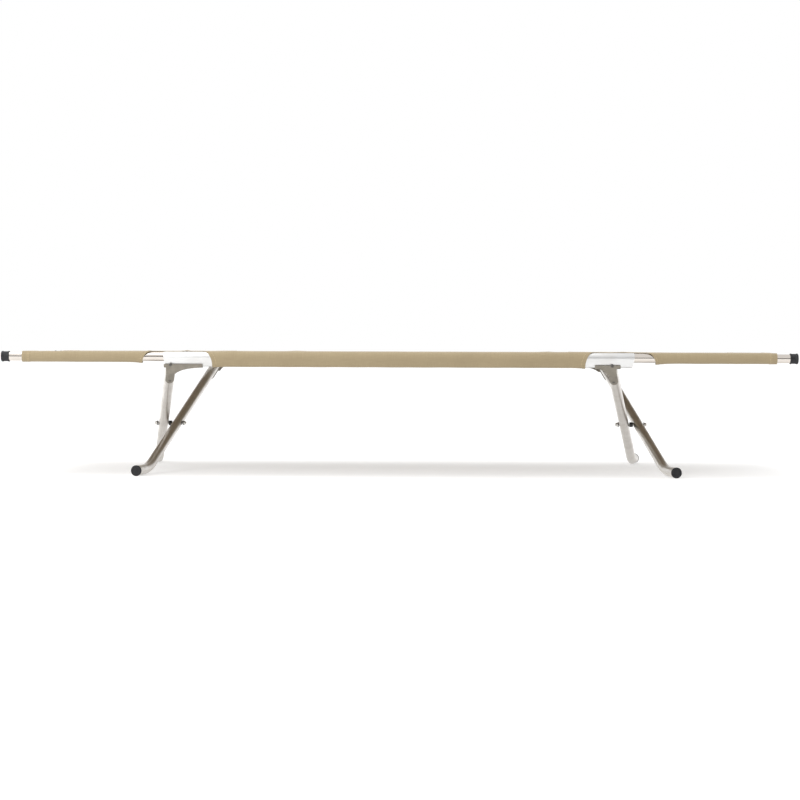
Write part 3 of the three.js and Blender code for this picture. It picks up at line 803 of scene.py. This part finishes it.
def acorn_nut(side, way, seat):
    """A hexagon with a dome on it, bored for the bolt's end."""
    nut = start(f"{side}_pivot_acorn_nut", bpy.ops.mesh.primitive_cylinder_add, vertices=6,
                radius=5.55 * MM, depth=4 * MM, location=(0, 0, 2 * MM))
    soften(nut, 0.35 * MM, 3)
    profile = millimetres((0, 3.5), (4.4, 3.5), (4.4, 4.4), (3.9, 5.9), (2.9, 7.1), (1.5, 7.8), (0, 8))
    combine(nut, turned("dome", profile, bevel=0), "UNION")
    bore = start("bore", bpy.ops.mesh.primitive_cylinder_add, vertices=32, radius=BOLT_BORE,
                 depth=12 * MM, location=(0, 0, -1 * MM))
    combine(nut, bore, "DIFFERENCE")
    tidy(nut)
    move_to(nut, aim((seat, 0, PIVOT_Z), (-way, 0, 0)))
    fit(nut, "near_frame", "fastener_steel", [f"{side}_pivot_nut"])


def pivots():
    """Each pivot from the outside in: bolt's head, washer, leg, spacer, leg, washer, domed nut."""
    slack = 0.1 * MM
    for side, way in SIDES.items():
        pivot_discs(side)
        outer_faces = [corner.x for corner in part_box(f"{side}_pivot_outer_washer")]
        inner_faces = [corner.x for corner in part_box(f"{side}_pivot_inner_washer")]
        bolt_seat = max(outer_faces, key=abs) + way * slack
        nut_seat = min(inner_faces, key=abs) - way * slack
        pivot_bolt(side, way, bolt_seat, abs(bolt_seat - nut_seat))
        acorn_nut(side, way, nut_seat)


# ---- Canvas bed ----
CANVAS = 0.7 * MM
CLOTH_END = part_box("bed_panel")[1].x
NOTCH_HALF = (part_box("near_right_end_sleeve")[0].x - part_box("near_middle_sleeve")[1].x) / 2
INNER_SHARE = 0.955  # the notch is a little narrower on its inner side
NOTCH_CLOSE = 20 * MM  # how far inboard of the rail the notch closes
NOTCH_LOW = -40 * MM  # where the notch reaches its full width, on the underside of the rail
NOTCH_RISE = NOTCH_CLOSE - NOTCH_LOW
CREST_GAP = 2 * abs(RAIL_Y)  # from the near sleeve's crest to the far one's
END_SLEEVE = 12.9 * MM  # radius of the canvas's middle surface round an end tube
MIDDLE_SLEEVE = RAIL_HEAD_RADIUS + 0.45 * MM
FLAP = 13 * MM  # what the sleeve's edge laps under the panel
STITCH_PITCH = 4.2 * MM
# Single puckers on the crests: x, distance across, half-length along x, height
PUCKERS = [
    (-0.405, 0.004, 0.010, 2.4 * MM),
    (-0.622, 0.004, 0.008, 1.6 * MM),
    (0.452, 0.003, 0.030, 1.5 * MM),
    (-0.170, 0.002, 0.040, 0.6 * MM),
    (0.740, 0.003, 0.014, 0.9 * MM),
    (0.560, 0.030, 0.022, 2.2 * MM),
    (-0.530, 0.028, 0.009, 2.4 * MM),
    (0.405, CREST_GAP - 0.004, 0.012, 2.0 * MM),
    (-0.300, CREST_GAP - 0.003, 0.020, 1.2 * MM),
]


def run_along(points):
    """The distance of each point from the first, along the line they draw."""
    return np.concatenate(([0], np.cumsum(np.linalg.norm(np.diff(points, axis=0), axis=1))))


def values_at(distance, run, rows):
    """The rows' values at a distance, or at each of several, along a line."""
    return np.stack([np.interp(distance, run, rows[:, axis]) for axis in range(rows.shape[1])], axis=-1)


def sleeve_path(head, tail):
    """The canvas's way round a rail from the crest outwards, under it and back up to the seam flap.

    Rows of (inward, up) from the rail's axis, with the distance from the crest along the canvas.
    """
    if tail:
        drop = (RAIL_Z - RAIL_LOW.z) - RAIL_TAIL_RADIUS
        lean = math.asin((head - tail) / drop)
        leave = 1.5 * math.pi - lean
        angles = np.linspace(0, math.pi / 2 + lean, 60)
        points = [(-head * math.sin(a), head * math.cos(a)) for a in angles]
        angles = np.linspace(math.pi / 2 + lean, leave, 60)
        points += [(-tail * math.sin(a), tail * math.cos(a) - drop) for a in angles]
    else:
        leave = math.radians(240)
        points = [(-head * math.sin(a), head * math.cos(a)) for a in np.linspace(0, leave, 90)]
    ahead = Vector((-math.cos(leave), -math.sin(leave)))
    rise = END_SLEEVE - 1.25 * MM - points[-1][1]
    meet = Vector(points[-1]) + ahead * (rise / ahead.y)
    points += [tuple(meet), (meet.x + FLAP, meet.y)]
    points = np.array(points)
    run = run_along(points)
    even = np.arange(0, run[-1], 0.5 * MM)
    path = values_at(even, run, points)
    # A running mean of 11 points rounds the corners
    padded = np.pad(path, ((5, 5), (0, 0)), mode="reflect", reflect_type="odd")
    mean = np.full(11, 1 / 11)
    smooth = np.column_stack([np.convolve(padded[:, axis], mean, "valid") for axis in (0, 1)])
    smooth[0] = (0, head)
    return smooth, even


END_PATH, END_RUN = sleeve_path(END_SLEEVE, 0)
MIDDLE_PATH, MIDDLE_RUN = sleeve_path(MIDDLE_SLEEVE, RAIL_TAIL_RADIUS + 0.45 * MM)


def blend_between(value, low, high):
    """0 up to `low`, 1 from `high` on, smooth between."""
    t = np.clip((value - low) / (high - low), 0, 1)
    return t * t * (3 - 2 * t)


def canvas_rest(x, v):
    """The canvas without wrinkles: x along the bed, v across it from the near crest. Points as an array."""
    near = v <= CREST_GAP / 2
    u = np.where(near, v, CREST_GAP - v)
    middle = np.abs(x) < NOTCH_X
    outwards = np.clip(-u, 0, None)
    inward, up = np.where(middle, values_at(outwards, MIDDLE_RUN, MIDDLE_PATH).T,
                          values_at(outwards, END_RUN, END_PATH).T)
    share = 1 - blend_between(np.abs(x), NOTCH_X - 60 * MM, NOTCH_X + 60 * MM)
    crest = END_SLEEVE + (MIDDLE_SLEEVE - END_SLEEVE) * share * np.exp(-(u / 0.03) ** 2)
    inward = np.where(u >= 0, u, inward)
    up = np.where(u >= 0, crest, up)
    y = np.where(near, RAIL_Y + inward, -RAIL_Y - inward)
    return np.column_stack([x, y, RAIL_Z + up])


def notch_distance(x, u):
    """Distance from the nearest notch edge, positive on the canvas."""
    across = np.abs(x) - NOTCH_X
    across = np.where(across < 0, across / INNER_SHARE, across)
    along = u - NOTCH_LOW
    beyond = np.abs(across) - NOTCH_HALF
    level = (across / NOTCH_HALF) ** 2 + (along / NOTCH_RISE) ** 2 - 1
    steep = 2 * np.sqrt((across / NOTCH_HALF ** 2) ** 2 + (along / NOTCH_RISE ** 2) ** 2)
    least_steep = 4  # keeps the distance finite at the notch's middle, where the slope is nought
    return np.where(along > 0, level / np.maximum(steep, least_steep), beyond)


def waves(x, v, seed, count, longest, shortest):
    """Smooth unevenness, about -1..1."""
    random = np.random.default_rng(seed)
    total = np.zeros_like(x)
    for _ in range(count):
        length = longest * (shortest / longest) ** random.random()
        way = random.random() * math.tau
        phase = random.random() * math.tau
        total += np.sin((x * math.cos(way) + v * math.sin(way)) * math.tau / length + phase)
    return total / math.sqrt(count)


def canvas_points(x, v):
    """The canvas as it lies: the rest shape pushed out along its normal by folds, hems and slack."""
    step = 0.4 * MM
    rest = canvas_rest(x, v)
    inner = np.sign(x) * np.where(np.abs(x) < NOTCH_X, -1, 1)
    along = (canvas_rest(x + inner * step, v) - rest) * inner[:, None]
    across = canvas_rest(x, v + step) - canvas_rest(x, v - step)
    normal = np.cross(along, across)
    normal /= np.linalg.norm(normal, axis=1)[:, None]

    u = np.where(v <= CREST_GAP / 2, v, CREST_GAP - v)
    edge = notch_distance(x, u)
    from_end = CLOTH_END - np.abs(x)
    panel = blend_between(u, 0.02, 0.12)
    sleeve = 1 - blend_between(u, -0.005, 0.02)

    lift = panel * (0.9 * MM * waves(x, v, 3, 9, 0.6, 0.16) - 2.2 * MM * blend_between(u, 0.1, 0.34))
    slack = np.clip(waves(x, v, 5, 12, 0.30, 0.05) + 1.3, 0, None)
    lift += sleeve * 0.11 * MM * slack
    # Slack at the sleeve mouths: the lower edge stands off the rail
    loose = np.exp(-(np.clip(edge, 0, None) / 0.020) ** 2) * sleeve
    lift += loose * (0.2 * MM + 1.9 * MM * np.exp(-((u + 0.040) / 0.014) ** 2))
    # Pull folds that fan out from the notches over the panel
    fan = np.exp(-(np.clip(edge, 0, None) / 0.06) ** 2) * blend_between(u, 0.0, 0.03)
    lift += fan * 0.55 * MM * waves(x * 1.5, v * 0.35, 9, 6, 0.14, 0.08)
    for place, row, width, height in PUCKERS:
        lift += height * np.exp(-((x - place) / width) ** 2 - ((v - row) / 0.011) ** 2)
    # Doubled hems
    hem = 1 - blend_between(edge, 7.6 * MM, 8.6 * MM)
    hem = np.maximum(hem, 1 - blend_between(from_end, 19 * MM, 20.2 * MM))
    lift += hem * 0.45 * MM
    return rest + normal * lift[:, None], normal


def canvas_rows():
    """Distances across, row by row, for the end blocks and the middle block, whose loops are longer."""
    turns = np.radians(np.linspace(90, 0, 19))
    notch_rows = NOTCH_LOW + NOTCH_RISE * np.cos(turns)
    hem_rows = NOTCH_CLOSE + np.array([1, 2.4, 4.2, 6.2, 7.8, 8.4, 9.4, 12, 16]) * MM
    panel_rows = np.linspace(hem_rows[-1], CREST_GAP / 2, 26)[1:]
    blocks = []
    for run in (END_RUN[-1], MIDDLE_RUN[-1]):
        loop = np.linspace(-run, NOTCH_LOW, 27)[:-1]
        near = np.concatenate((loop, notch_rows, hem_rows, panel_rows))
        blocks.append(np.concatenate((near, CREST_GAP - near[:-1][::-1])))
    return blocks


def canvas_columns():
    """Where the columns stand.

    Distances out from a notch's edge, how far from the notch's middle they reach, then x at the end hem and
    on the plain cloth outside and between the notches.
    """
    near_edge = np.array([0, 1, 2.4, 4.4, 6.6, 7.8, 8.6, 10, 13, 18, 25, 34, 44, 56, 70]) * MM
    reach = NOTCH_HALF + near_edge[-1]
    end_hem = CLOTH_END - np.array([0, 1.5, 5, 10, 15, 18.8, 19.6, 20.6, 24]) * MM
    outer_plain = np.linspace(NOTCH_X + reach, end_hem[-1], 24)[1:-1]
    middle_plain = np.linspace(-(NOTCH_X - reach), NOTCH_X - reach, 80)[1:-1]
    return near_edge, reach, end_hem, outer_plain, middle_plain


def notch_half_width(u):
    """Half the notch's width at a row; 0 above where it closes."""
    rise = np.clip((u - NOTCH_LOW) / NOTCH_RISE, 0, 1)
    return NOTCH_HALF * np.sqrt(1 - rise ** 2)


def notch_steps(half, near_edge, reach):
    """Columns from the notch's middle outwards: evenly kept beside the edge, stretched further out."""
    stretch = (reach - half) / near_edge[-1]
    share = blend_between(near_edge, 10 * MM, near_edge[-1])
    return half + near_edge * (1 + (stretch - 1) * share)


def block_x(u, block):
    """The x of every column in a block at row u: columns near the notch follow its edge."""
    near_edge, reach, end_hem, outer_plain, middle_plain = canvas_columns()
    half = notch_half_width(u)
    if block == "middle":
        steps = NOTCH_X - notch_steps(half * INNER_SHARE, near_edge, reach)
        return np.concatenate((-steps, middle_plain, steps[::-1]))
    outer = np.concatenate((NOTCH_X + notch_steps(half, near_edge, reach), outer_plain, end_hem[::-1]))
    return outer if block == "right" else -outer[::-1]


def canvas_grid(block):
    """x and v, the flat distance across, at every point of one block of the canvas."""
    end_rows, middle_rows = canvas_rows()
    rows = middle_rows if block == "middle" else end_rows
    xs, vs = [], []
    for v in rows:
        u = v if v <= CREST_GAP / 2 else CREST_GAP - v
        line = block_x(u, block)
        xs.append(line)
        vs.append(np.full_like(line, v))
    return np.array(xs), np.array(vs)


def canvas():
    """The bed in one sheet: three blocks of quads, welded where they meet, with the cloth's thickness."""
    points, faces, flat = [], [], []
    total = 0
    for block in ("left", "middle", "right"):
        xs, vs = canvas_grid(block)
        at, _ = canvas_points(xs.ravel(), vs.ravel())
        rows, columns = xs.shape
        index = np.arange(rows * columns).reshape(rows, columns) + total
        quads = np.stack([index[:-1, :-1], index[:-1, 1:], index[1:, 1:], index[1:, :-1]], axis=-1)
        points.append(at)
        faces.append(quads.reshape(-1, 4))
        flat.append(np.column_stack([xs.ravel(), vs.ravel()]))
        total += rows * columns
    points, faces, flat = np.vstack(points), np.vstack(faces), np.vstack(flat)
    cloth = put_mesh("canvas_bed", points.tolist(), faces.tolist())
    mesh = cloth.data
    uv = mesh.uv_layers.new(name="flat_cloth")
    corners = np.empty(len(mesh.loops), dtype=np.int32)
    mesh.loops.foreach_get("vertex_index", corners)
    uv.data.foreach_set("uv", flat[corners].ravel())
    edit(cloth)
    bpy.ops.mesh.remove_doubles(threshold=0.02 * MM)
    leave_edit()
    modify(cloth, "SOLIDIFY", thickness=CANVAS, offset=0, use_even_offset=False)
    tidy(cloth, 60)
    return cloth


def seam_line(xs, vs, stitches):
    """Adds a stitch every STITCH_PITCH along a line drawn on the canvas, as its place and its turn."""
    points, normals = canvas_points(xs, vs)
    run = run_along(points)
    for distance in np.arange(STITCH_PITCH / 2, run[-1], STITCH_PITCH):
        at = Vector(values_at(distance, run, points))
        ahead = Vector(values_at(distance + 1 * MM, run, points)) - at
        normal = Vector(values_at(distance, run, normals)).normalized()
        if ahead.length < 0.2 * MM:
            continue
        ahead.normalize()
        side = normal.cross(ahead).normalized()
        turn = Matrix((ahead, side, ahead.cross(side))).transposed()
        stitches.append((at + normal * CANVAS * 0.52, turn))


def seams():
    """Lockstitches along the sleeves, the notch hems and the end hems."""
    stitches = []
    long_x = np.linspace(-CLOTH_END + 3 * MM, CLOTH_END - 3 * MM, 900)
    for v in (25.5 * MM, 31.5 * MM):
        for row in (v, CREST_GAP - v):
            seam_line(long_x, np.full_like(long_x, row), stitches)
    for way in (-1, 1):
        for inset in (14 * MM, 17.5 * MM):
            across = np.linspace(-0.06, CREST_GAP + 0.06, 500)
            seam_line(np.full_like(across, way * (CLOTH_END - inset)), across, stitches)
    hem = 5.6 * MM
    for way in (-1, 1):
        for edge in (-1, 1):
            turns = np.radians(np.linspace(0, 76, 90))
            across = way * (NOTCH_X + edge * (NOTCH_HALF + hem) * np.cos(turns))
            u = NOTCH_LOW + (NOTCH_RISE + hem) * np.sin(turns)
            for v in (u, CREST_GAP - u):
                seam_line(across, v, stitches)
    pattern = start("stitch", bpy.ops.mesh.primitive_uv_sphere_add, segments=6, ring_count=4, radius=1,
                    rotation=(0, math.pi / 2, 0))
    shape = np.array([vertex.co[:] for vertex in pattern.data.vertices]) * (1.75 * MM, 0.36 * MM, 0.30 * MM)
    sides = [tuple(face.vertices) for face in pattern.data.polygons]
    bpy.data.objects.remove(pattern)
    points, faces = [], []
    for at, turn in stitches:
        first = len(points)
        points.extend((shape @ np.array(turn).T + np.array(at)).tolist())
        faces.extend([[first + corner for corner in face] for face in sides])
    made = put_mesh("seam_stitches", points, faces)
    for polygon in made.data.polygons:
        polygon.use_smooth = True
    return made


def canvas_bed():
    """The canvas and its stitches."""
    nodes = ["bed_panel"]
    for half in HALVES:
        nodes.append(f"{half}_middle_sleeve")
        nodes += [f"{half}_{side}_end_sleeve" for side in SIDES]
    cloth = canvas()
    cloth.data.materials.append(FINISH["canvas"])
    cloth.data.materials.append(PAINTED_SHADE_UNDERSIDE)
    # The panel's lower face, short of the sleeves, takes the darker copy of the canvas: painted shade
    for polygon in cloth.data.polygons:
        if polygon.normal.z < -0.5 and abs(polygon.center.y) < abs(RAIL_Y) - 24 * MM:
            polygon.material_index = 1
    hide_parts(*nodes)
    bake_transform(cloth)
    thread = seams()
    thread.data.materials.append(thread_finish())
    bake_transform(thread)


# ---- Build ----
middle_rail()
end_rails()
rail_caps()
for leg in LEGS.values():
    leg_tube(leg)
foot_caps()
brackets()
rivets()
rail_screws()
pivots()
canvas_bed()


# ---- Stage: pale floor, soft light, camera ----
def floor():
    """A matt floor with a little glow of its own, so it stays near white."""
    plane = start("floor", bpy.ops.mesh.primitive_circle_add, vertices=96, radius=60, fill_type="NGON")
    f = Finish("pale_floor", Roughness=0.9, Specular_IOR_Level=0.1)
    cloud = f.noise(f.place(), 3.0, 3, 0.5)
    f.set(Base_Color=f.mix(cloud, (0.66, 0.66, 0.66), (0.68, 0.68, 0.68)))
    f.set(Emission_Color=(1, 1, 1, 1), Emission_Strength=0.42)
    plane.data.materials.append(f.material)


def sky():
    """White all round."""
    world = bpy.data.worlds.new("studio")
    bpy.context.scene.world = world
    world.use_nodes = True
    tree = world.node_tree
    tree.nodes.clear()
    output = tree.nodes.new("ShaderNodeOutputWorld")
    background = tree.nodes.new("ShaderNodeBackground")
    tree.links.new(background.outputs[0], output.inputs["Surface"])
    background.inputs["Color"].default_value = (1, 1, 1, 1)
    background.inputs["Strength"].default_value = 1.0


def card(name, location, turn, scale, greys):
    """A grey card that the camera doesn't see, for the metal to mirror."""
    made = start(name, bpy.ops.mesh.primitive_cube_add, size=1, location=location, rotation=(0, 0, turn),
                 scale=scale)
    f = Finish(f"{name}_grey", Roughness=1.0, Specular_IOR_Level=0.0)
    dark, pale = [(grey, grey, grey) for grey in greys]
    f.set(Base_Color=f.mix(f.noise(f.place(), 2, 2, 0.5), dark, pale))
    made.data.materials.append(f.material)
    made.visible_camera = False
    return made


def cards():
    """A dark card low behind the camera, the line along the tubes' middle, and a flag on the right.

    The dark card only mirrors. The flag takes some light off the right-hand end too.
    """
    dark = card("dark_card", (0, -9, 1.25), 0, (30, 0.02, 2.5), (0.05, 0.08))
    dark.visible_diffuse = False
    dark.visible_shadow = False
    card("side_flag", (4.4, -3.0, 1.4), 0.5, (0.02, 4.5, 2.8), (0.20, 0.24))


def softbox(name, location, target, width, height, power):
    """A rectangle of light aimed at a point."""
    light = bpy.data.lights.new(name, "AREA")
    light.shape = "RECTANGLE"
    light.size, light.size_y, light.energy = width, height, power
    made = put(name, light)
    made.location = location
    made.rotation_euler = (Vector(target) - Vector(location)).to_track_quat("-Z", "Y").to_euler()


def camera():
    """Almost square on to the near rail, a little above it."""
    data = bpy.data.cameras.new("camera")
    data.sensor_width = 36
    data.lens = 87.075
    made = put("camera", data)
    yaw, pitch, roll = -0.0154, 0.02702, 0.0033
    forward = Vector((math.sin(yaw) * math.cos(pitch), math.cos(yaw) * math.cos(pitch), -math.sin(pitch)))
    right = Vector((math.cos(yaw), -math.sin(yaw), 0))
    up = Vector((math.sin(yaw) * math.sin(pitch), math.cos(yaw) * math.sin(pitch), math.cos(pitch)))
    rolled_right = right * math.cos(roll) + up * math.sin(roll)
    rolled_up = up * math.cos(roll) - right * math.sin(roll)
    turn = Matrix((rolled_right, rolled_up, -forward)).transposed().to_4x4()
    made.matrix_world = Matrix.Translation((0.0781, -5.1546, 0.3237)) @ turn
    bpy.context.scene.camera = made


floor()
sky()
cards()
softbox("top_light", (-0.6, 0.0, 3.2), (0, 0, 0.3), 4.0, 2.4, 62)
softbox("key_light", (-3.2, -3.4, 2.4), (-0.4, 0, 0.2), 1.8, 1.8, 85)
camera()
bpy.context.scene.view_settings.view_transform = "Standard"
